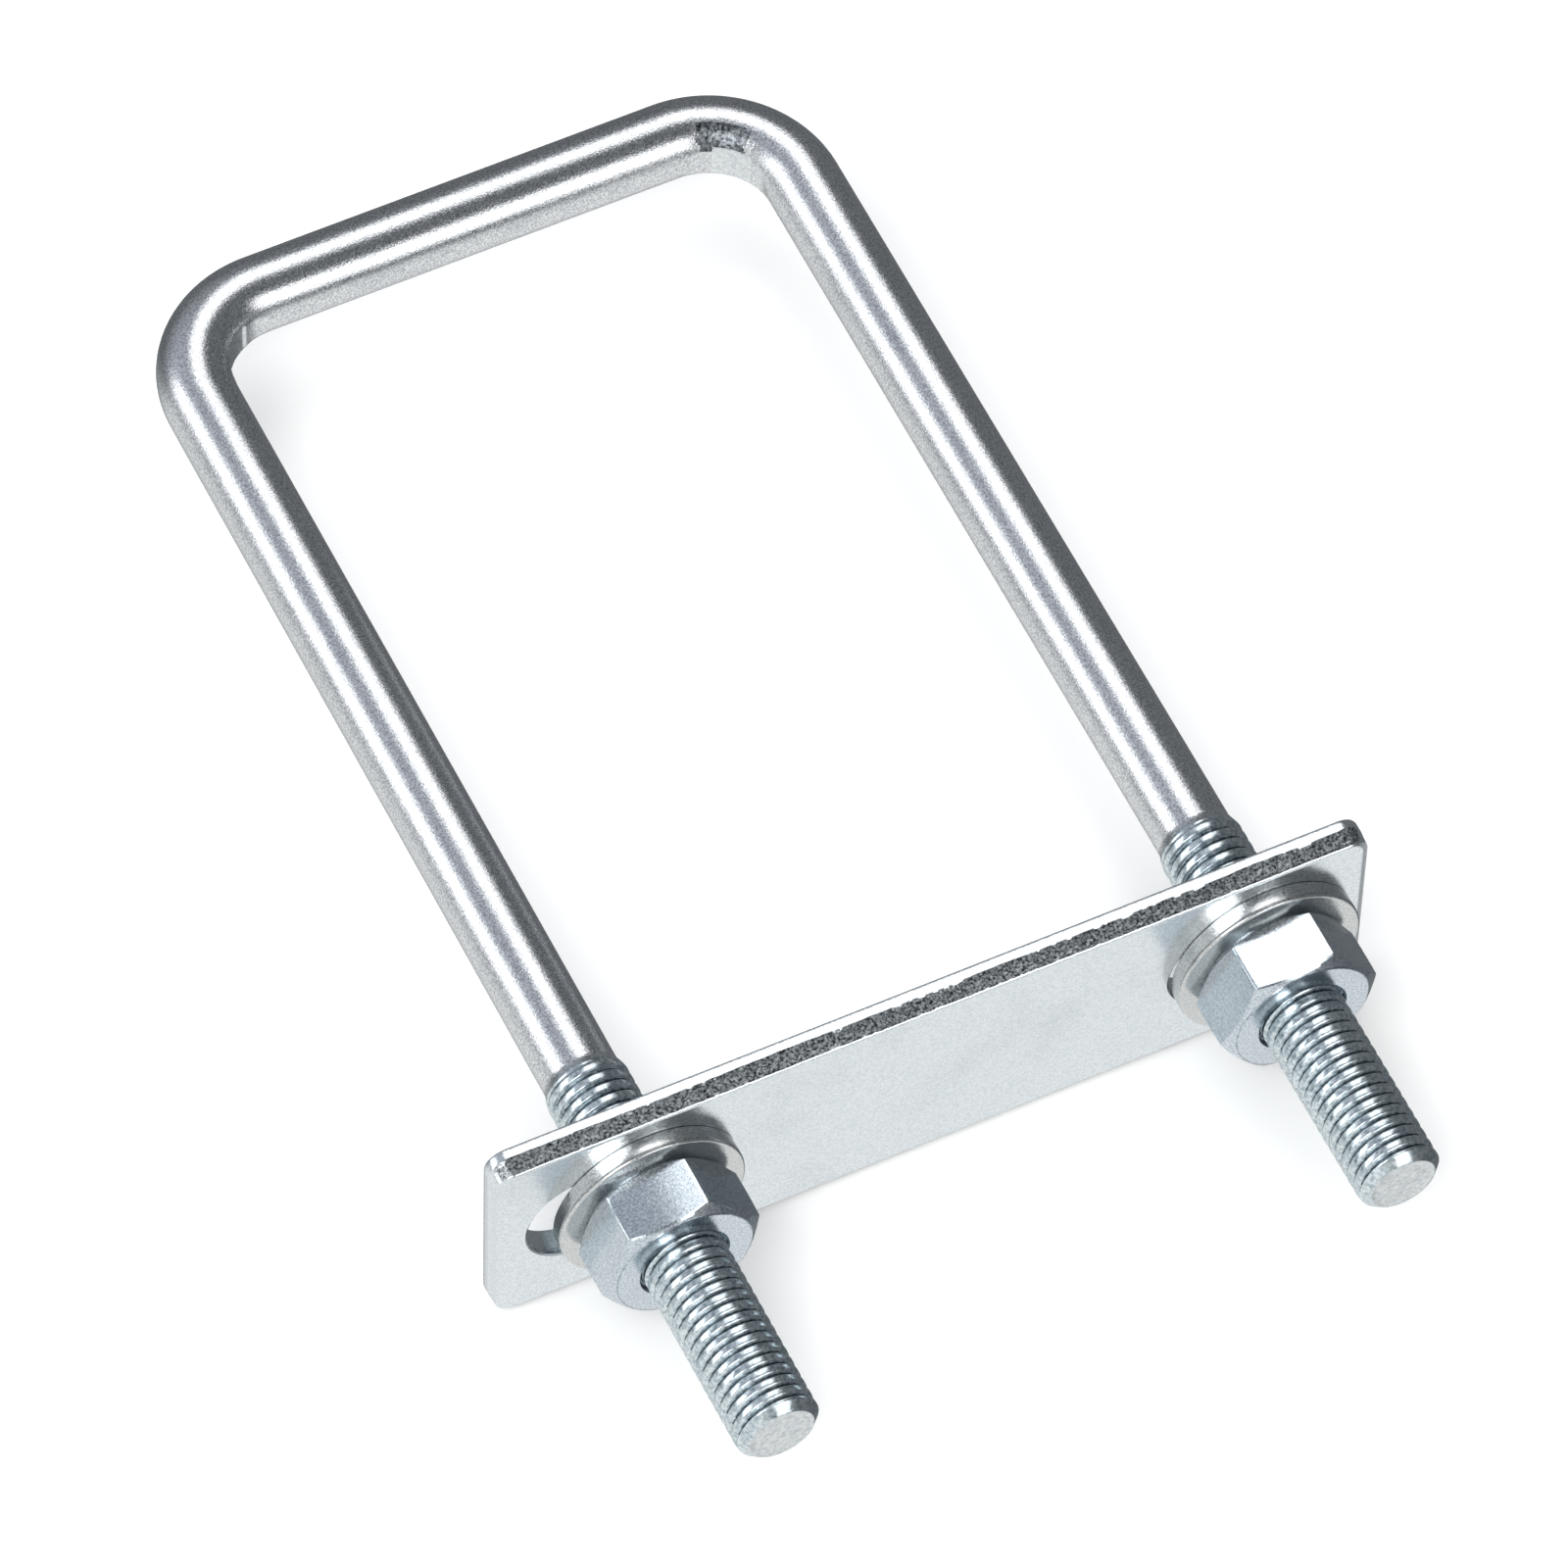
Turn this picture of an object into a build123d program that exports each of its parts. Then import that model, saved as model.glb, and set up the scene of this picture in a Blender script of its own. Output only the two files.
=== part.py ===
"""Square-bend U-bolt with strap plate, flat washers and hexagon nuts, thread size M10.

The U lies flat. +X runs along the crossbar, the threaded legs point towards -Y, and +Z is
along the strap plate's width. The origin is midway between the legs on the plate's
clamping face.
"""
import os

from build123d import *

os.makedirs("parts", exist_ok=True)

# U rod
LEG_SPACING = 76.0       # between the leg axes
CROSSBAR_Y = 125.5       # crossbar axis from the clamping face
TIP_Y = -38.0            # leg ends
SHANK_R = 4.5            # plain bar that a rolled thread is made on
THREAD_R = 5.0           # M10 crest radius
THREAD_LENGTH = 50.0
RUN_OUT = 1.2            # taper from the thread's crests down to the shank
TIP_CHAMFER = 1.0
BEND_R = 12.0            # centre line of each bend
BEND_FLAT = 0.4          # depth that the bending die presses into the inside of a bend

# Strap plate
PLATE_LENGTH = 107.0
PLATE_WIDTH = 28.0
PLATE_THICKNESS = 3.5
PLATE_CORNER = 2.5
PLATE_SHIFT = -2.6       # the slots let the plate sit off centre
SLOT_SPACING = 78.8
SLOT_LENGTH = 20.4
SLOT_WIDTH = 13.0

# Washers
WASHER_R = 11.25
WASHER_BORE_R = 5.25
WASHER_THICKNESS = 2.2
WASHER_EDGE = 0.4

# Nuts
NUT_FLATS = 17.0
NUT_HEIGHT = 8.0
NUT_BORE_R = 5.06        # running clearance over the crests
NUT_FACE_R = 8.1         # flat circle left by the corner chamfer
NUT_CHAMFER_DEPTH = 1.2
NUT_CHAMFER_R = 10.2
NUT_COUNTERSINK = 0.5
LEFT_NUT_TURN = 11.0     # degrees that each nut stopped at when tightened
RIGHT_NUT_TURN = 6.0

LEG_X = LEG_SPACING / 2
THREAD_START_Y = TIP_Y + THREAD_LENGTH
WASHER_Y = -PLATE_THICKNESS
NUT_Y = WASHER_Y - WASHER_THICKNESS

# One bar, swept along its centre line, with a thicker threaded length on each leg.
with BuildPart() as u_rod:
    with BuildLine():
        FilletPolyline(
            (-LEG_X, THREAD_START_Y),
            (-LEG_X, CROSSBAR_Y),
            (LEG_X, CROSSBAR_Y),
            (LEG_X, THREAD_START_Y),
            radius=BEND_R,
        )
    with BuildSketch(Plane(origin=(-LEG_X, THREAD_START_Y, 0), z_dir=(0, 1, 0))):
        Circle(SHANK_R)
    sweep()
    for leg_x in (-LEG_X, LEG_X):
        with BuildSketch(Plane(origin=(leg_x, 0, 0))):
            with BuildLine():
                Polyline(
                    (0, TIP_Y),
                    (THREAD_R - TIP_CHAMFER, TIP_Y),
                    (THREAD_R, TIP_Y + TIP_CHAMFER),
                    (THREAD_R, THREAD_START_Y),
                    (SHANK_R, THREAD_START_Y + RUN_OUT),
                    (0, THREAD_START_Y + RUN_OUT),
                    close=True,
                )
            make_face()
        revolve(axis=Axis((leg_x, 0, 0), (0, 1, 0)))
    # The die presses the inside of each bend flat across the bar.
    with Locations(
        (BEND_R - LEG_X, CROSSBAR_Y - BEND_R, 0),
        (LEG_X - BEND_R, CROSSBAR_Y - BEND_R, 0),
    ):
        Cylinder(BEND_R - SHANK_R + BEND_FLAT, 4 * SHANK_R, mode=Mode.SUBTRACT)

# A length of flat bar with an obround slot near each end.
with BuildPart() as strap_plate:
    with BuildSketch(Plane(origin=(PLATE_SHIFT, 0, 0), x_dir=(1, 0, 0), z_dir=(0, -1, 0))):
        RectangleRounded(PLATE_LENGTH, PLATE_WIDTH, PLATE_CORNER)
        with GridLocations(SLOT_SPACING, 0, 2, 1):
            SlotOverall(SLOT_LENGTH, SLOT_WIDTH, mode=Mode.SUBTRACT)
    extrude(amount=PLATE_THICKNESS)


def make_washer(leg_x):
    """Flat washer on one leg, bearing on the plate's outer face."""
    with BuildPart() as washer:
        with BuildSketch(Plane(origin=(leg_x, WASHER_Y, 0), z_dir=(0, -1, 0))):
            Circle(WASHER_R)
            Circle(WASHER_BORE_R, mode=Mode.SUBTRACT)
        extrude(amount=WASHER_THICKNESS)
        rims = washer.edges().filter_by(GeomType.CIRCLE).group_by(SortBy.RADIUS)[-1]
        chamfer(rims, length=WASHER_EDGE)
    return washer


def make_nut(leg_x, turn):
    """Hexagon nut, chamfered at both ends, turned by some degrees on its leg."""
    face = Plane(origin=(leg_x, NUT_Y, 0), x_dir=(1, 0, 0), z_dir=(0, -1, 0))
    with BuildPart() as nut:
        with BuildSketch(face):
            RegularPolygon(NUT_FLATS / 2, 6, major_radius=False, rotation=turn)
            Circle(NUT_BORE_R, mode=Mode.SUBTRACT)
        extrude(amount=NUT_HEIGHT)
        bore = nut.edges().filter_by(GeomType.CIRCLE)
        chamfer(bore, length=NUT_COUNTERSINK)
        with BuildSketch(Plane(origin=(leg_x, NUT_Y, 0), x_dir=(1, 0, 0), z_dir=(0, 0, 1))):
            with BuildLine():
                Polyline(
                    (0, 0),
                    (NUT_FACE_R, 0),
                    (NUT_CHAMFER_R, -NUT_CHAMFER_DEPTH),
                    (NUT_CHAMFER_R, NUT_CHAMFER_DEPTH - NUT_HEIGHT),
                    (NUT_FACE_R, -NUT_HEIGHT),
                    (0, -NUT_HEIGHT),
                    close=True,
                )
            make_face()
        revolve(axis=Axis((leg_x, 0, 0), (0, 1, 0)), mode=Mode.INTERSECT)
    return nut


left_washer = make_washer(-LEG_X)
right_washer = make_washer(LEG_X)
left_nut = make_nut(-LEG_X, LEFT_NUT_TURN)
right_nut = make_nut(LEG_X, RIGHT_NUT_TURN)

u_rod.part.label = "u_rod"
strap_plate.part.label = "strap_plate"
left_washer.part.label = "left_washer"
right_washer.part.label = "right_washer"
left_nut.part.label = "left_nut"
right_nut.part.label = "right_nut"

export_step(u_rod.part, "parts/u_rod.step")
export_step(strap_plate.part, "parts/strap_plate.step")
export_step(left_washer.part, "parts/left_washer.step")
export_step(right_washer.part, "parts/right_washer.step")
export_step(left_nut.part, "parts/left_nut.step")
export_step(right_nut.part, "parts/right_nut.step")
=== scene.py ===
import math

import bmesh
import bpy
from mathutils import Matrix, Vector, noise


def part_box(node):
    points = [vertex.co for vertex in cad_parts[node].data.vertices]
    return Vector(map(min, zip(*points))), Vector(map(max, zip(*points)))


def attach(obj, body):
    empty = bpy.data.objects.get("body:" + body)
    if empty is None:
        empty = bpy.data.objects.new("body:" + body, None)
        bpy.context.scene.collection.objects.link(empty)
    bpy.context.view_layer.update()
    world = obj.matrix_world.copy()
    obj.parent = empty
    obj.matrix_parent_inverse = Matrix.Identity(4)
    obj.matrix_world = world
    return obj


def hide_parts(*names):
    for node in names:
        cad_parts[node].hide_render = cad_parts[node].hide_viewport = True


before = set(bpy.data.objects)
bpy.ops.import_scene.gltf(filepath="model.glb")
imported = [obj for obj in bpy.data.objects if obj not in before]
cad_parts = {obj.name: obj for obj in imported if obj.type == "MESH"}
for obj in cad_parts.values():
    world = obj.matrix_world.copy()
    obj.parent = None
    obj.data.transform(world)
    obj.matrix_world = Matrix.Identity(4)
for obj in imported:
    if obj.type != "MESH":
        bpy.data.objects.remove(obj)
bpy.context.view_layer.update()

MM = 0.001

# Sizes that the frame gives, in metres.
rod_low, rod_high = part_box("u_rod")
plate_low, plate_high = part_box("strap_plate")
left_washer_low, left_washer_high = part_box("left_washer")
right_washer_low, right_washer_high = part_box("right_washer")
left_nut_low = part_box("left_nut")[0]

CREST_R = rod_high[2]
LEG_X = (right_washer_low[0] + right_washer_high[0]) / 2
TIP_Y = rod_low[1]
SHANK_R = 4.5 * MM
CROSSBAR_Y = rod_high[1] - SHANK_R
BEND_R = 12 * MM
BEND_FLAT = 0.4 * MM
DIE_MARK = 0.62 * MM

PITCH = 1.5 * MM
THREAD_DEPTH = 0.64 * MM
THREAD_END_Y = TIP_Y + 50 * MM
RUN_OUT = 2.2 * MM
TIP_CHAMFER = 1.0 * MM
ROWS_PER_PITCH = 24

PLATE_FRONT = plate_low[1]
WASHER_FRONT = left_washer_low[1]
NUT_FRONT = left_nut_low[1]
WASHER_R = (left_washer_high[0] - left_washer_low[0]) / 2
NUT_FLATS = 17 * MM
NUT_FACE_R = 8.1 * MM

# Degrees that each nut is turned about its leg.
NUT_TURN = {"left": 11.0, "right": 6.0}

TEAR_ROWS = 9
TEAR_LEAN = 0.48 * MM

# Half the angle of the die's mark along each bend, in radians.
DIE_MARK_SPAN = 0.30

# Frequencies of the surface noise, in waves per metre. 1000 is a wave a millimetre long.
TEAR_BORDER_WAVES = 170
TEAR_BORDER_NICKS = 900
TEAR_PITS = 1700
TEAR_GRIT = 3600
DIE_PITS = 1300
DARK_PATCH_EDGE = 900
END_WAVES_ACROSS = 520
END_WAVES_ALONG = 160
END_GRIT = 1400

# Edges that turn by more than these angles, in degrees, are left sharp.
ROD_SHARP = 78
PLATE_SHARP = 32
WASHER_SHARP = 32
NUT_SHARP = 24
FLOOR_SHARP = 30

# Material slots of the rod, in the order its finishes are added. The last is painted shade in the
# thread's roots.
BAR, THREAD, DIE_FLAT, SHEARED_END, DARK_BEND_PATCH, THREAD_ROOT_SHADE = range(6)

# Material slots of the plate.
FACE, TORN_EDGE = range(2)

# Tarnish colour, metres from the object's middle to each light, and how much the floor glows.
TARNISH = "8C9499"
SOFTBOX_DISTANCE = 1.1
FLOOR_GLOW = 0.2


# ---------------------------------------------------------------- mesh helpers

def new_piece(name, vertices, faces, sharp_angle):
    """Mesh object with smooth faces and sharp edges above an angle in degrees."""
    mesh = bpy.data.meshes.new(name)
    mesh.from_pydata(vertices, [], faces)
    tidy = bmesh.new()
    tidy.from_mesh(mesh)
    bmesh.ops.recalc_face_normals(tidy, faces=tidy.faces)
    tidy.to_mesh(mesh)
    tidy.free()
    mesh.polygons.foreach_set("use_smooth", [True] * len(mesh.polygons))
    mesh.set_sharp_from_angle(angle=math.radians(sharp_angle))
    piece = bpy.data.objects.new(name, mesh)
    bpy.context.collection.objects.link(piece)
    return piece


def tube_faces(rows, around, closed=False):
    """Quads between rings of points, each ring joined to the next."""
    faces = []
    for row in range(rows if closed else rows - 1):
        for step in range(around):
            here = row * around
            there = (row + 1) % rows * around
            after = (step + 1) % around
            faces.append((here + step, here + after, there + after, there + step))
    return faces


def smooth(value):
    """Eased step from 0 to 1, level at both ends."""
    value = min(max(value, 0.0), 1.0)
    return value * value * (3 - 2 * value)


# ---------------------------------------------------------------- rolled thread

def thread_depth(y, angle):
    """Depth of the right-hand groove below the crest: broad rounded crests, narrow roots.

    The angle is measured about the leg from +X towards +Z.
    """
    root_rounding, crest_share, flank_share = 0.12, 0.44, 0.56
    phase = (y / PITCH + angle / math.tau) % 1.0

    # The flank goes from 0 at the middle of a crest to nearly 1 at the middle of a root. A little
    # of the depth is the crest's own rounding, and the rest is the groove beside it.
    flank = max(0.0, 1 - math.hypot(1 - abs(2 * phase - 1), root_rounding))
    groove = 0.12 * flank ** 2 + 0.88 * (max(0.0, flank - crest_share) / flank_share) ** 1.35
    fade = smooth((THREAD_END_Y - y) / RUN_OUT)
    return THREAD_DEPTH * groove * fade


def leg_radius(y, angle):
    """Radius of a leg at a height along it: tip chamfer, thread, run-out, then plain bar."""
    if y >= THREAD_END_Y + RUN_OUT:
        return SHANK_R
    swell = smooth((THREAD_END_Y + RUN_OUT / 2 - y) / RUN_OUT)
    crest = SHANK_R + (CREST_R - SHANK_R) * swell
    radius = crest - thread_depth(y, angle)
    chamfer = CREST_R - TIP_CHAMFER + (y - TIP_Y)
    return min(radius, chamfer)


def leg_heights():
    """Y of each ring on a leg, from its tip up to where the bend begins."""
    heights = []
    y = TIP_Y
    while y < THREAD_END_Y + RUN_OUT:
        heights.append(y)
        y += PITCH / ROWS_PER_PITCH
    bend_y = CROSSBAR_Y - BEND_R
    plain = 40
    first = heights[-1] + PITCH / ROWS_PER_PITCH
    for step in range(plain + 1):
        heights.append(first + (bend_y - first) * step / plain)
    return heights


def build_u_rod():
    """The bent bar as one skin, from the left tip round to the right tip."""
    around, bend_steps, crossbar_steps = 96, 56, 40
    angles = [math.tau * step / around for step in range(around)]
    vertices = []

    def ring(centre, out, flat=0.0):
        """One ring of plain bar, flattened by so much on the inside of the U.

        out points away from the inside of the U, and +Z is the other way across the bar.
        """
        for angle in angles:
            across = max(SHANK_R * math.cos(angle), flat - SHANK_R)
            if flat > BEND_FLAT:
                spot = (centre + out * across) * DIE_PITS + Vector((0, 0, angle * 3))
                pit = noise.noise(spot)
                across += 0.05 * MM * pit * (across < 0)
            vertices.append(centre + out * across + Vector((0, 0, SHANK_R * math.sin(angle))))

    def die_flat(turn):
        """How much the inside is flattened: gently along the bend, deeper at its middle."""
        gentle = BEND_FLAT * smooth(math.sin(2 * turn) * 1.6)
        return DIE_MARK if abs(turn - math.pi / 4) < DIE_MARK_SPAN else gentle

    def cap(centre, side):
        """Sheared end of a leg: shallow tear waves that never stand out past the tip."""
        for share in (0.02, 0.12, 0.22, 0.32, 0.42, 0.52, 0.62, 0.72, 0.82, 0.9, 0.96):
            for angle in angles:
                radius = (CREST_R - TIP_CHAMFER) * share
                spot = Vector((side * radius * math.cos(angle), 0, radius * math.sin(angle)))
                waves = Vector((
                    spot.x * END_WAVES_ACROSS + spot.z * END_WAVES_ACROSS, side,
                    (spot.x - spot.z) * END_WAVES_ALONG))
                wave = noise.noise(waves) + 0.6 * noise.noise(spot * END_GRIT)
                rise = (0.10 + 0.09 * wave) * MM * smooth((1 - share) * 5)
                vertices.append(centre + spot + Vector((0, max(rise, 0), 0)))

    def leg(side, heights):
        """One leg's rings.

        The world angle runs from +X towards +Z, so both legs carry the same hand of thread.
        """
        for y in heights:
            for angle in angles:
                world = angle if side > 0 else math.pi - angle
                radius = leg_radius(y, world)
                vertices.append(Vector((
                    side * (LEG_X + radius * math.cos(angle)), y, radius * math.sin(angle))))

    heights = leg_heights()
    cap(Vector((-LEG_X, TIP_Y, 0)), -1)
    leg(-1, heights)
    for step in range(1, bend_steps + 1):
        turn = math.pi / 2 * step / bend_steps
        out = Vector((-math.cos(turn), math.sin(turn), 0))
        centre = Vector((BEND_R - LEG_X, CROSSBAR_Y - BEND_R, 0)) + out * BEND_R
        ring(centre, out, die_flat(turn))
    for step in range(1, crossbar_steps):
        x = (LEG_X - BEND_R) * (2 * step / crossbar_steps - 1)
        ring(Vector((x, CROSSBAR_Y, 0)), Vector((0, 1, 0)))
    for step in range(bend_steps, 0, -1):
        turn = math.pi / 2 * step / bend_steps
        out = Vector((math.cos(turn), math.sin(turn), 0))
        centre = Vector((LEG_X - BEND_R, CROSSBAR_Y - BEND_R, 0)) + out * BEND_R
        ring(centre, out, die_flat(turn))
    leg(1, heights[::-1])

    # The right cap is made from its middle outwards, so its rings are put in reverse.
    far_cap = len(vertices)
    cap(Vector((LEG_X, TIP_Y, 0)), 1)
    block = vertices[far_cap:]
    rings = [block[i:i + around] for i in range(0, len(block), around)]
    vertices[far_cap:] = [point for one in reversed(rings) for point in one]

    rows = len(vertices) // around
    faces = tube_faces(rows, around)
    faces.append(tuple(range(around)))
    faces.append(tuple(range((rows - 1) * around, rows * around)))
    return new_piece("rod_skin", vertices, faces, ROD_SHARP)


# ---------------------------------------------------------------- strap plate

def rounded_outline(centre_x, half_length, half_width, corner, spacing):
    """Points round a rounded rectangle in XZ with their outward normals, anticlockwise."""
    points = []
    straight_x, straight_z = half_length - corner, half_width - corner
    corners = (
        (straight_x, -straight_z, -90),
        (straight_x, straight_z, 0),
        (-straight_x, straight_z, 90),
        (-straight_x, -straight_z, 180),
    )
    turn_steps = 12 if corner < 5 * MM else 32
    for index, (x, z, start) in enumerate(corners):
        for step in range(turn_steps + 1):
            angle = math.radians(start + 90 * step / turn_steps)
            normal = Vector((math.cos(angle), 0, math.sin(angle)))
            points.append((Vector((centre_x + x, 0, z)) + normal * corner, normal))
        next_x, next_z = corners[(index + 1) % 4][:2]
        end = points[-1][0]
        normal = points[-1][1]
        goal = Vector((centre_x + next_x, 0, next_z)) + normal * corner
        count = int((goal - end).length / spacing)
        for step in range(1, count):
            points.append((end.lerp(goal, step / count), normal))
    return points


def plain_rows(outline, rows, outward):
    """Rings that follow an outline through the plate.

    Each row has its inset, and its depth as a share of the thickness from the back.
    """
    return [
        point - normal * inset * outward + Vector((0, PLATE_FRONT * share, 0))
        for inset, share in rows for point, normal in outline]


def torn_rows(outline):
    """Rings across the torn front half of a sheared long side, with a wavy upper border.

    The tear fades out round the corners, because the ends were cut clean.
    """
    vertices, torn = [], []
    for step in range(TEAR_ROWS + 1):
        along = step / TEAR_ROWS
        for point, normal in outline:
            tear = smooth(abs(normal.z) * 2 - 0.9)
            wave = noise.noise(Vector((
                point.x * TEAR_BORDER_WAVES, 3.1, point.z * TEAR_BORDER_WAVES)))
            ragged = noise.noise(Vector((
                point.x * TEAR_BORDER_NICKS, 7.7, point.z * TEAR_BORDER_NICKS)))
            border = 0.43 + (0.09 * wave + 0.05 * ragged) * tear
            share = border + (0.93 - border) * along
            spot = Vector((point.x, PLATE_FRONT * share, point.z))
            grain = noise.noise(spot * TEAR_PITS) + 0.6 * noise.noise(spot * TEAR_GRIT)
            leaning = TEAR_LEAN * along ** 0.8
            pits = 0.05 * MM * (1 + grain) * min(1, along * 6) * tear
            vertices.append(spot - normal * (leaning * (0.35 + 0.65 * tear) + pits))
            torn.append(tear > 0.5)
    return vertices, torn


def build_strap_plate():
    """Flat bar cut by shearing: a burnished back half, then a torn half, then a rolled edge."""
    centre_x = (plate_low[0] + plate_high[0]) / 2
    half_length = (plate_high[0] - plate_low[0]) / 2
    half_width = (plate_high[2] - plate_low[2]) / 2
    slot_spacing, slot_length, slot_width = 78.8 * MM, 20.4 * MM, 13 * MM

    # Each pair is an inset and a share of the thickness. The first two rings and the last two
    # lie on the flat faces, so that the rounding of the rim doesn't shade into them.
    back_rows = (
        (0.50 * MM, 0.0), (0.30 * MM, 0.0), (0.09 * MM, 0.03),
        (0.0, 0.10), (0.0, 0.25), (0.0, 0.36),
    )
    front_rows = (
        (TEAR_LEAN + 0.16 * MM, 0.97), (TEAR_LEAN + 0.34 * MM, 1.0),
        (TEAR_LEAN + 0.54 * MM, 1.0),
    )
    slot_rows = (
        (0.45 * MM, 0.0), (0.25 * MM, 0.0), (0.07 * MM, 0.03), (0.0, 0.09), (0.0, 0.5),
        (0.0, 0.88), (0.12 * MM, 0.96), (0.34 * MM, 1.0), (0.54 * MM, 1.0),
    )
    outline = rounded_outline(centre_x, half_length, half_width, 2.5 * MM, 0.26 * MM)
    around = len(outline)
    middle, torn = torn_rows(outline)
    vertices = plain_rows(outline, back_rows, 1) + middle + plain_rows(outline, front_rows, 1)
    torn = [False] * (len(back_rows) * around) + torn
    faces = tube_faces(len(vertices) // around, around)
    rims = [(0, around), (len(vertices) - around, around)]
    for side in (-1, 1):
        slot = rounded_outline(
            centre_x + side * slot_spacing / 2, slot_length / 2, slot_width / 2,
            slot_width / 2 - 0.001 * MM, 0.6 * MM)
        first, count = len(vertices), len(slot)
        vertices += plain_rows(slot, slot_rows, -1)
        faces += [tuple(first + i for i in face) for face in tube_faces(len(slot_rows), count)]
        rims += [(first, count), (len(vertices) - count, count)]
    plate = new_piece("plate_skin", vertices, faces, PLATE_SHARP)

    # The back face is filled between the first ring of each outline, the front between the last.
    shape = bmesh.new()
    shape.from_mesh(plate.data)
    shape.verts.ensure_lookup_table()
    for level in (0, 1):
        edges = [
            shape.edges.get((shape.verts[first + i], shape.verts[first + (i + 1) % count]))
            for first, count in rims[level::2] for i in range(count)]
        bmesh.ops.triangle_fill(shape, use_beauty=True, edges=[edge for edge in edges if edge])
    bmesh.ops.recalc_face_normals(shape, faces=shape.faces)
    for face in shape.faces:
        face.smooth = True
        corners = [vertex.index for vertex in face.verts]
        is_torn = all(i < len(torn) and torn[i] for i in corners)
        face.material_index = TORN_EDGE if is_torn else FACE
    shape.to_mesh(plate.data)
    shape.free()
    plate.data.set_sharp_from_angle(angle=math.radians(PLATE_SHARP))
    return plate


# ---------------------------------------------------------------- washers

def build_washer(side_name, side):
    """Pressed ring: a front edge rolled over by the die, a fine line under it, a square back."""
    around, roll_steps = 160, 8
    bore, roll = 5.25 * MM, 0.30 * MM
    back, front = PLATE_FRONT, WASHER_FRONT
    profile = [
        (bore + 0.40 * MM, back), (bore + 0.20 * MM, back),
        (bore, back - 0.18 * MM), (bore, front + 0.25 * MM),
        (bore + 0.07 * MM, front + 0.08 * MM), (bore + 0.30 * MM, front),
        (bore + 0.50 * MM, front), (WASHER_R - 0.48 * MM, front),
    ]
    for step in range(roll_steps + 1):
        turn = math.pi / 2 * step / roll_steps
        profile.append((
            WASHER_R - roll + roll * math.sin(turn), front + roll * (1 - math.cos(turn))))
    profile += [
        (WASHER_R - 0.22 * MM, front + roll + 0.10 * MM), (WASHER_R, front + roll + 0.22 * MM),
        (WASHER_R, back - 0.74 * MM), (WASHER_R - 0.03 * MM, back - 0.70 * MM),
        (WASHER_R - 0.02 * MM, back - 0.16 * MM), (WASHER_R - 0.09 * MM, back - 0.05 * MM),
        (WASHER_R - 0.24 * MM, back), (WASHER_R - 0.44 * MM, back),
    ]
    vertices = []
    for radius, y in profile:
        for step in range(around):
            angle = math.tau * step / around
            vertices.append(Vector((
                side * LEG_X + radius * math.cos(angle), y, radius * math.sin(angle))))
    faces = tube_faces(len(profile), around, closed=True)
    return new_piece(side_name + "_washer_skin", vertices, faces, WASHER_SHARP)


# ---------------------------------------------------------------- nuts

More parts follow.
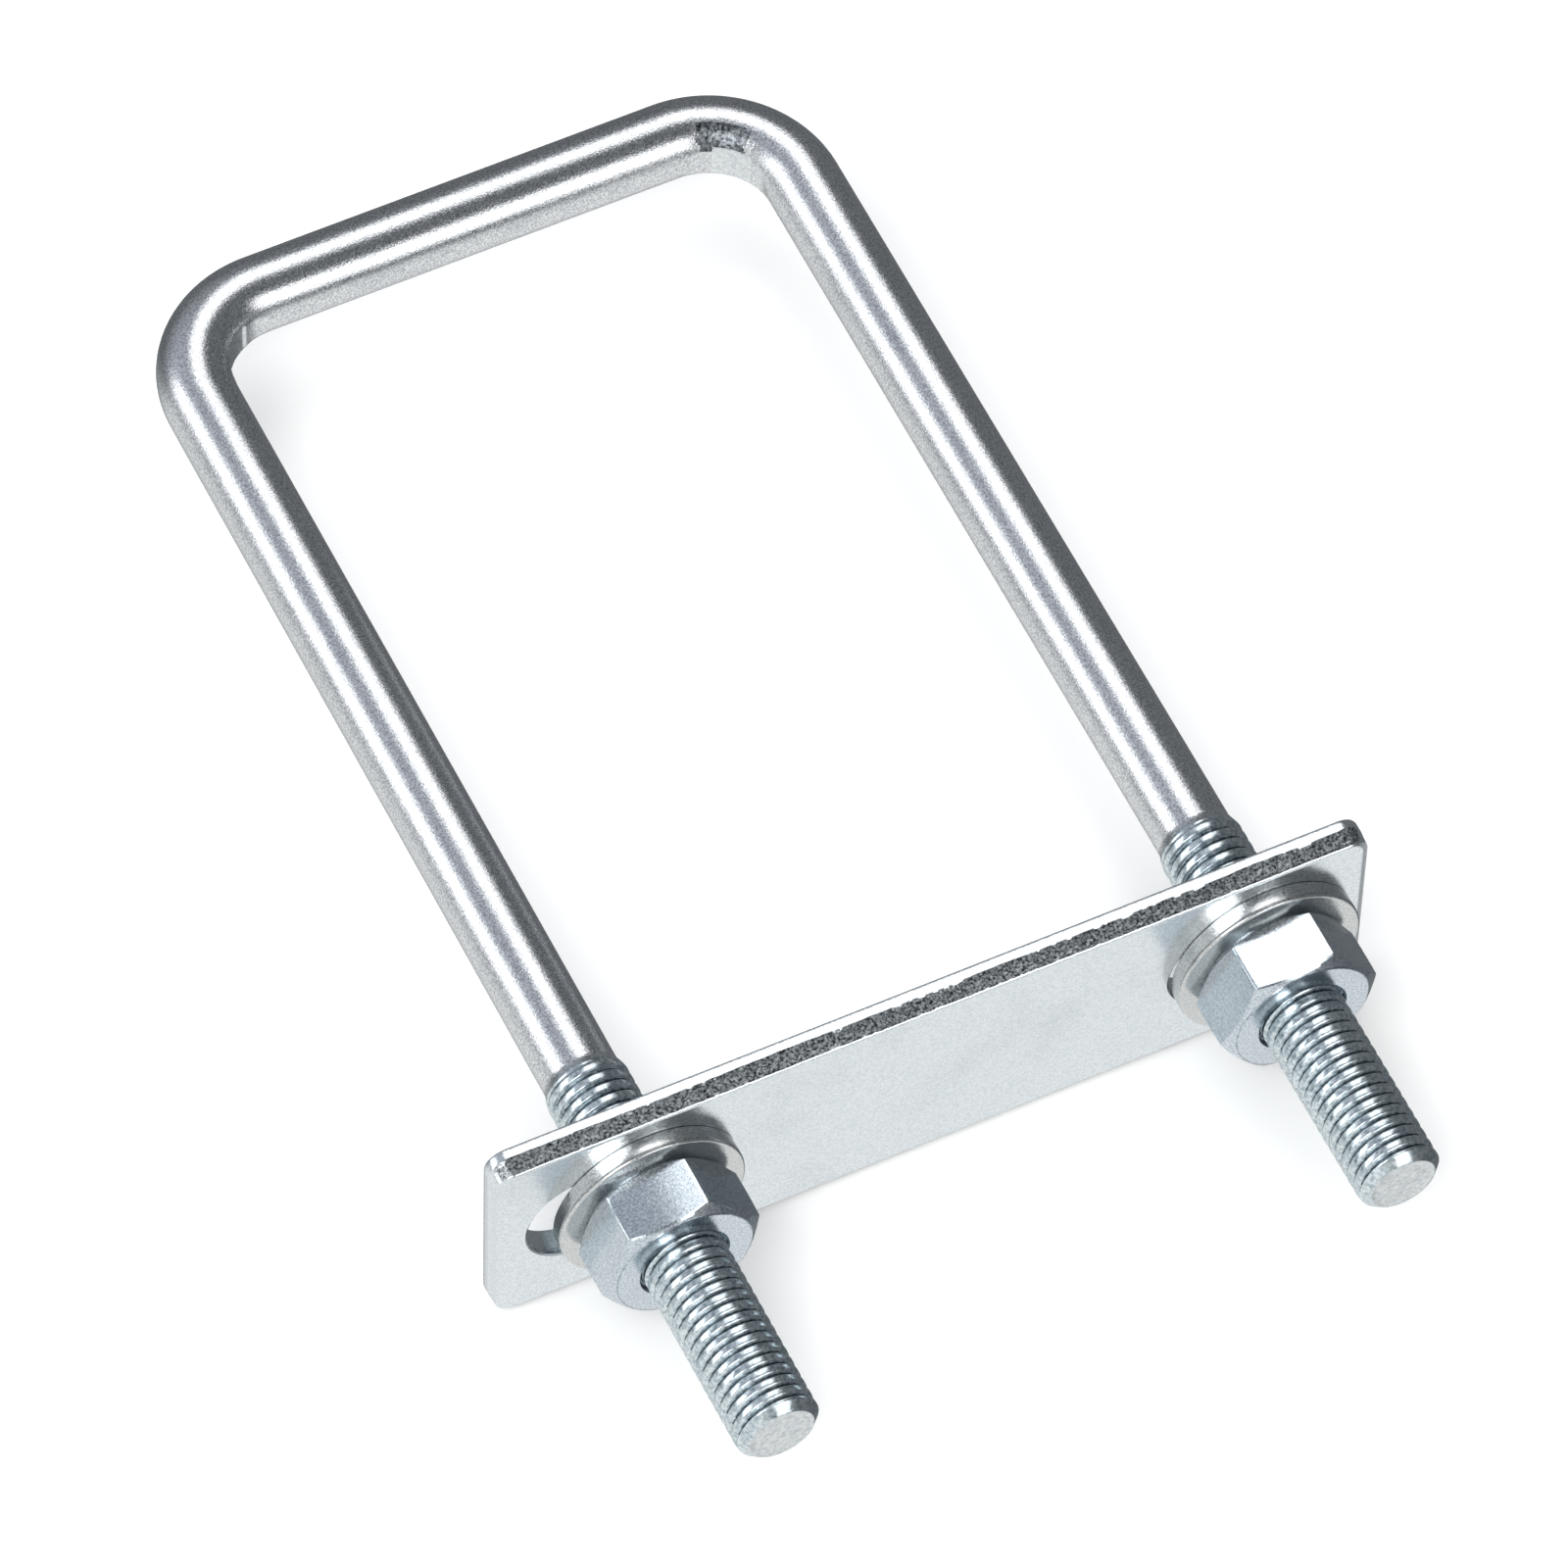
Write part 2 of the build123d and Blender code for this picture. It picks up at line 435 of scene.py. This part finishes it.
def build_nut(side_name, side):
    """Chamfered hexagon with crowned flats and a countersunk bore tapped to match the leg."""
    around, tapped_rows, flat_steps = 288, 80, 8
    corner_power = 110
    back, front = WASHER_FRONT, NUT_FRONT
    turn = math.radians(NUT_TURN[side_name])
    countersink = 0.7 * MM
    rings = []

    # The angles crowd together towards the six corners, where the outline is rounded.
    angles = []
    for step in range(around):
        flat, share = divmod(step * 6 / around, 1)
        share -= 0.78 * math.sin(math.tau * share) / math.tau
        angles.append(turn + (flat + share) * math.pi / 3)

    def hexagon(angle):
        """Distance to the outline: flats that bulge a little, and rounded corners.

        A higher corner power makes the corners sharper.
        """
        total = sum(
            max(0.0, math.cos(angle - turn - math.pi / 6 - flat * math.pi / 3)) ** corner_power
            for flat in range(6))
        off_middle = ((angle - turn) % (math.pi / 3) - math.pi / 6) / (math.pi / 6)
        crown = 0.15 * MM * (1 - off_middle ** 2)
        return (NUT_FLATS / 2 - 0.05 * MM) / total ** (1 / corner_power) + crown

    outline = [hexagon(angle) for angle in angles]

    def ring(radii, heights):
        """One ring of the nut, from a radius and a height at each angle."""
        rings.append([
            Vector((side * LEG_X + radius * math.cos(angle), y, radius * math.sin(angle)))
            for angle, radius, y in zip(angles, radii, heights)])

    def chamfer(inset, lower):
        """How far the turned cone has cut back from the face, at each angle."""
        return [
            0.05 * MM + (radius - inset - NUT_FACE_R) * math.tan(math.radians(30)) + lower
            for radius in outline]

    def flat_rows(start, forward):
        """One chamfer: the turned line round the face, the cone, then a small broken edge."""
        broken = 0.15 * MM
        return [
            ([NUT_FACE_R] * around, [start] * around),
            ([NUT_FACE_R + 0.05 * MM] * around, [start + forward * 0.17 * MM] * around),
            ([NUT_FACE_R + 0.15 * MM] * around, [start + forward * 0.12 * MM] * around),
            ([radius - broken for radius in outline],
             [start + forward * d for d in chamfer(broken, 0)]),
            (outline, [start + forward * d for d in chamfer(0, broken * 0.8)]),
            (outline, [start + forward * d for d in chamfer(0, broken * 2.2)]),
        ]

    ring([CREST_R + 0.5 * MM] * around, [front] * around)
    for radii, heights in flat_rows(front, 1):
        ring(radii, heights)
    cut = chamfer(0, 0.22 * MM)
    for step in range(1, flat_steps):
        share = step / flat_steps
        bulge = 0.035 * MM * (1 - (2 * share - 1) ** 2)
        ring(
            [radius + bulge for radius in outline],
            [(front + depth) * (1 - share) + (back - depth) * share for depth in cut])
    for radii, heights in reversed(flat_rows(back, -1)):
        ring(radii, heights)
    ring([CREST_R + 0.5 * MM] * around, [back] * around)
    for row in range(tapped_rows + 1):
        y = back - countersink + (front - back + 2 * countersink) * row / tapped_rows
        open_up = max(0.0, 0.5 * MM - min(back - y, y - front) + countersink)
        bore = [
            min(CREST_R + 0.06 * MM - thread_depth(y, angle) + open_up, CREST_R + 0.4 * MM)
            for angle in angles]
        ring(bore, [y] * around)
    vertices = [point for points in rings for point in points]
    faces = tube_faces(len(rings), around, closed=True)
    return new_piece(side_name + "_nut_skin", vertices, faces, NUT_SHARP)


# ---------------------------------------------------------------- materials

def linear(hex_colour):
    """sRGB hex text to linear RGBA."""
    channels = []
    for start in (0, 2, 4):
        value = int(hex_colour[start:start + 2], 16) / 255
        channels.append(value / 12.92 if value <= 0.04045 else ((value + 0.055) / 1.055) ** 2.4)
    return (*channels, 1.0)


def add_node(tree, kind, settings=(), inputs=(), links=()):
    """Adds a node with its settings and input values, and links named inputs from sockets."""
    node = tree.nodes.new(kind)
    for key, value in dict(settings).items():
        setattr(node, key, value)
    for key, value in dict(inputs).items():
        node.inputs[key].default_value = value
    for key, socket in dict(links).items():
        tree.links.new(socket, node.inputs[key])
    return node


def zinc_plating(name, light, dark, grain_mm, roughness, spread, bump):
    """Zinc plated steel: a satin metal whose grain varies a little in tone and gloss.

    Real plated grain is a few hundredths of a millimetre or finer, which is too fine to show,
    so grain_mm draws it some ten times coarser. Roughness goes up and down by the spread. Faint
    tarnish clouds of about 9 mm lie over it.
    """
    cloud_mm, relief_mm = 9, 0.05
    material = bpy.data.materials.new(name)
    material.use_nodes = True
    tree = material.node_tree
    shader = tree.nodes["Principled BSDF"]
    shader.inputs["Metallic"].default_value = 1.0
    place = add_node(tree, "ShaderNodeTexCoord")
    grain = add_node(
        tree, "ShaderNodeTexNoise",
        inputs={"Scale": 1 / (grain_mm * MM), "Detail": 4.0, "Roughness": 0.6},
        links={"Vector": place.outputs["Object"]})
    cloud = add_node(
        tree, "ShaderNodeTexNoise",
        inputs={"Scale": 1 / (cloud_mm * MM), "Detail": 2.0},
        links={"Vector": place.outputs["Object"]})
    tone = add_node(tree, "ShaderNodeValToRGB", links={"Fac": grain.outputs["Fac"]})
    tone.color_ramp.elements[0].position = 0.36
    tone.color_ramp.elements[0].color = linear(dark)
    tone.color_ramp.elements[1].position = 0.62
    tone.color_ramp.elements[1].color = linear(light)
    stain = add_node(
        tree, "ShaderNodeMapRange",
        inputs={"From Min": 0.5, "From Max": 0.75, "To Min": 0.0, "To Max": 0.12},
        links={"Value": cloud.outputs["Fac"]})
    colour = add_node(
        tree, "ShaderNodeMix", settings={"data_type": "RGBA"},
        links={"Factor": stain.outputs["Result"], "A": tone.outputs["Color"]})
    colour.inputs["B"].default_value = linear(TARNISH)
    tree.links.new(colour.outputs["Result"], shader.inputs["Base Color"])
    gloss = add_node(
        tree, "ShaderNodeMapRange",
        inputs={"From Min": 0.3, "From Max": 0.7,
                "To Min": roughness - spread, "To Max": roughness + spread},
        links={"Value": grain.outputs["Fac"]})
    tree.links.new(gloss.outputs["Result"], shader.inputs["Roughness"])
    relief = add_node(
        tree, "ShaderNodeBump", inputs={"Strength": bump, "Distance": relief_mm * MM},
        links={"Height": grain.outputs["Fac"]})
    tree.links.new(relief.outputs["Normal"], shader.inputs["Normal"])
    return material


def rod_zinc():
    """Bright zinc over drawn bar: soft bands of light, broken up by a fine sandy grain."""
    return zinc_plating("rod_bright_zinc_drawn_bar", "F2F2F3", "AEB2B6", 0.24, 0.20, 0.05, 0.55)


def thread_zinc():
    """Zinc over a rolled thread: a little bluer than the bar, with a soft sheen on the crests."""
    return zinc_plating("thread_blue_zinc_rolled", "E4ECEF", "AAB8BF", 0.5, 0.23, 0.04, 0.10)


def thread_root_painted_shade_zinc():
    """Painted shade for the thread's roots: a dull, nearly dark zinc that draws a shaded line
    under each crest.
    """
    return zinc_plating("thread_root_zinc_painted_shade", "59646B", "31383E", 0.5, 0.38, 0.05, 0.2)


def die_mark_zinc():
    """Zinc over steel bruised by the bending die: dull, pitted, with dark speckles."""
    return zinc_plating("bend_zinc_die_pressed", "F0F2F3", "CDD2D5", 0.4, 0.28, 0.05, 0.2)


def dark_bend_patch_zinc():
    """Zinc for a dark mottled patch on the inside of the right bend: nearly black, with a few
    light specks.
    """
    return zinc_plating("bend_zinc_dark_patch", "8F9498", "1E2225", 0.45, 0.34, 0.08, 1.0)


def sheared_end_zinc():
    """Zinc over a sheared bar end: pale and matt, because the torn waves scatter the light."""
    return zinc_plating("leg_end_zinc_sheared", "E6E8E9", "BFC4C7", 0.5, 0.30, 0.06, 0.35)


def plate_zinc():
    """Blue zinc over hot-rolled flat bar: a cool, even satin face with a faint sandy grain."""
    return zinc_plating("plate_blue_zinc_flat_bar", "EDF1F3", "D3DADE", 0.24, 0.20, 0.04, 0.3)


def torn_edge_zinc():
    """Zinc over torn steel: nearly black pits between glints, from the shear's rough break."""
    return zinc_plating("plate_edge_zinc_torn", "D6DADC", "24282B", 0.30, 0.32, 0.10, 1.0)


def washer_zinc():
    """Zinc over pressed sheet: a slightly warmer satin than the plate."""
    return zinc_plating("washer_zinc_pressed_sheet", "E0E1E0", "BABCBC", 0.22, 0.20, 0.04, 0.3)


def nut_zinc():
    """Blue zinc over cold-formed hexagon: satin crowned flats with a fine cool mottle."""
    return zinc_plating("nut_blue_zinc_cold_formed", "DDE4E9", "B3BDC5", 0.28, 0.18, 0.05, 0.18)


# ---------------------------------------------------------------- build the pieces

rod = build_u_rod()
rod_finishes = {
    BAR: rod_zinc, THREAD: thread_zinc, DIE_FLAT: die_mark_zinc,
    SHEARED_END: sheared_end_zinc, DARK_BEND_PATCH: dark_bend_patch_zinc, THREAD_ROOT_SHADE: thread_root_painted_shade_zinc,
}
for slot in range(len(rod_finishes)):
    rod.data.materials.append(rod_finishes[slot]())
die_floor_r = BEND_R - SHANK_R + DIE_MARK * 1.3
for polygon in rod.data.polygons:
    middle = polygon.center
    in_bend = Vector((abs(middle.x) - (LEG_X - BEND_R), middle.y - (CROSSBAR_Y - BEND_R), 0))
    if middle.y < TIP_Y + 0.25 * MM and polygon.normal.y < -0.8:
        polygon.material_index = SHEARED_END
    elif middle.y < THREAD_END_Y:
        radius = math.hypot(abs(middle.x) - LEG_X, middle.z)
        # Faces deep in a root take the dark dull zinc: painted shade, which draws a dark line
        # under each crest.
        in_painted_root_shade = middle.y > TIP_Y + TIP_CHAMFER and CREST_R - radius > 0.60 * THREAD_DEPTH
        polygon.material_index = THREAD_ROOT_SHADE if in_painted_root_shade else THREAD
    elif min(in_bend.x, in_bend.y) > 0 and in_bend.length < BEND_R - SHANK_R * 0.35:
        towards_crossbar = math.atan2(in_bend.y, in_bend.x) - math.pi / 4
        ragged = 0.10 * noise.noise(middle * DARK_PATCH_EDGE)
        if in_bend.length < die_floor_r and abs(towards_crossbar) < DIE_MARK_SPAN + 0.02:
            polygon.material_index = DIE_FLAT
        # A dark mottled patch on the upper inside of the right bend, beside the die's flat, with
        # a ragged border.
        elif middle.x > 0 and middle.z > 2.1 * MM and -0.14 < towards_crossbar + ragged < 0.50:
            polygon.material_index = DARK_BEND_PATCH
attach(rod, "u_rod")
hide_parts("u_rod")

plate = build_strap_plate()
plate.data.materials.append(plate_zinc())
plate.data.materials.append(torn_edge_zinc())
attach(plate, "strap_plate")
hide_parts("strap_plate")

washer_finish = washer_zinc()
nut_finish = nut_zinc()
for side_name, side in (("left", -1), ("right", 1)):
    washer = build_washer(side_name, side)
    washer.data.materials.append(washer_finish)
    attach(washer, side_name + "_washer")
    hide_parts(side_name + "_washer")
    nut = build_nut(side_name, side)
    nut.data.materials.append(nut_finish)
    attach(nut, side_name + "_nut")
    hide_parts(side_name + "_nut")


# ---------------------------------------------------------------- floor, light, camera

def build_floor():
    """Level pale floor just under the plate, so that the plate clears it all along its slide.

    It glows a little, as a lit paper sweep does, which keeps the shadows faint.
    """
    reach = 3.0
    level = plate_low[2] - 0.4 * MM
    corners = [
        Vector((reach * u, reach * v, level)) for u, v in ((-1, -1), (1, -1), (1, 1), (-1, 1))]
    floor = new_piece("floor", corners, [(0, 1, 2, 3)], FLOOR_SHARP)
    material = bpy.data.materials.new("floor_matt_white_paper")
    material.use_nodes = True
    shader = material.node_tree.nodes["Principled BSDF"]
    shader.inputs["Base Color"].default_value = linear("F4F4F3")
    shader.inputs["Emission Color"].default_value = linear("FFFFFF")
    shader.inputs["Emission Strength"].default_value = FLOOR_GLOW
    shader.inputs["Roughness"].default_value = 0.9
    floor.data.materials.append(material)
    floor.visible_glossy = False


def build_softbox(name, azimuth, elevation, size, power, mirrored=True):
    """Rectangular area light, aimed at the middle of the object.

    Azimuth 0 is towards +Y and 90 towards +X. One that isn't mirrored lights the object but
    doesn't show in the metal.
    """
    lamp = bpy.data.lights.new(name, "AREA")
    lamp.shape = "RECTANGLE"
    lamp.size, lamp.size_y = size
    lamp.energy = power
    turn, rise = math.radians(azimuth), math.radians(elevation)
    towards = Vector((
        math.sin(turn) * math.cos(rise), math.cos(turn) * math.cos(rise), math.sin(rise)))
    box = bpy.data.objects.new(name, lamp)
    box.location = Vector((0, 0.04, 0)) + towards * SOFTBOX_DISTANCE
    box.rotation_euler = (-towards).to_track_quat("-Z", "Y").to_euler()
    box.visible_camera = False
    box.visible_glossy = mirrored
    bpy.context.collection.objects.link(box)


def build_camera():
    """Long lens above and to the left of the threaded ends, rolled by about two degrees."""
    azimuth, elevation, roll = (math.radians(a) for a in (-27.6, 55.85, 2.17))
    back = Vector((
        math.sin(azimuth) * math.cos(elevation), -math.cos(azimuth) * math.cos(elevation),
        math.sin(elevation)))
    right = Vector((math.cos(azimuth), math.sin(azimuth), 0))
    up = back.cross(right)
    turned_right = right * math.cos(roll) + up * math.sin(roll)
    turned_up = up * math.cos(roll) - right * math.sin(roll)
    lens = bpy.data.cameras.new("camera")
    lens.lens = 306.5
    lens.sensor_width = 36
    lens.clip_end = 20
    camera = bpy.data.objects.new("camera", lens)
    camera.matrix_world = Matrix.Translation((-0.3901, -0.7063, 1.2393)) @ Matrix(
        (turned_right, turned_up, back)).transposed().to_4x4()
    bpy.context.collection.objects.link(camera)
    bpy.context.scene.camera = camera


def build_world():
    """Dim blue-grey surround, lighter high at the back left and bright low at the front left.

    The bright part stands for a white table, which the metal mirrors in place of the floor.
    """
    world = bpy.data.worlds.new("studio")
    world.use_nodes = True
    tree = world.node_tree
    place = add_node(tree, "ShaderNodeTexCoord")
    lean = add_node(
        tree, "ShaderNodeVectorMath", settings={"operation": "DOT_PRODUCT"},
        links={0: place.outputs["Generated"]})
    lean.inputs[1].default_value = (-0.55, 0.50, 0.67)
    tone = add_node(tree, "ShaderNodeValToRGB", links={"Fac": lean.outputs["Value"]})
    tone.color_ramp.elements[0].position = 0.55
    tone.color_ramp.elements[0].color = linear("6F7275")
    tone.color_ramp.elements[1].position = 0.92
    tone.color_ramp.elements[1].color = linear("B4B9C2")
    dip = add_node(
        tree, "ShaderNodeVectorMath", settings={"operation": "DOT_PRODUCT"},
        links={0: place.outputs["Generated"]})
    dip.inputs[1].default_value = (-0.62, -0.50, -0.60)
    table = add_node(
        tree, "ShaderNodeMapRange", settings={"interpolation_type": "SMOOTHSTEP"},
        inputs={"From Min": 0.05, "From Max": 0.58}, links={"Value": dip.outputs["Value"]})
    both = add_node(
        tree, "ShaderNodeMix", settings={"data_type": "RGBA"},
        links={"Factor": table.outputs["Result"]})
    tree.links.new(tone.outputs["Color"], both.inputs["A"])
    both.inputs["B"].default_value = linear("F8FAFA")
    surround = tree.nodes["Background"]
    tree.links.new(both.outputs["Result"], surround.inputs["Color"])
    surround.inputs["Strength"].default_value = 1.0
    bpy.context.scene.world = world


build_floor()
build_softbox("back_right_softbox", 25, 57, (0.55, 0.60), 1.9)
build_softbox("left_softbox", -60, 23, (0.60, 0.52), 1.8)
build_softbox("front_right_softbox", 161, 31, (0.50, 0.68), 2.5)
build_softbox("front_left_fill", -130, 50, (0.55, 0.55), 5.7)
build_softbox("overhead_fill", 0, 89, (1.6, 1.6), 7.0, mirrored=False)
build_camera()
build_world()
bpy.context.scene.view_settings.view_transform = "Standard"
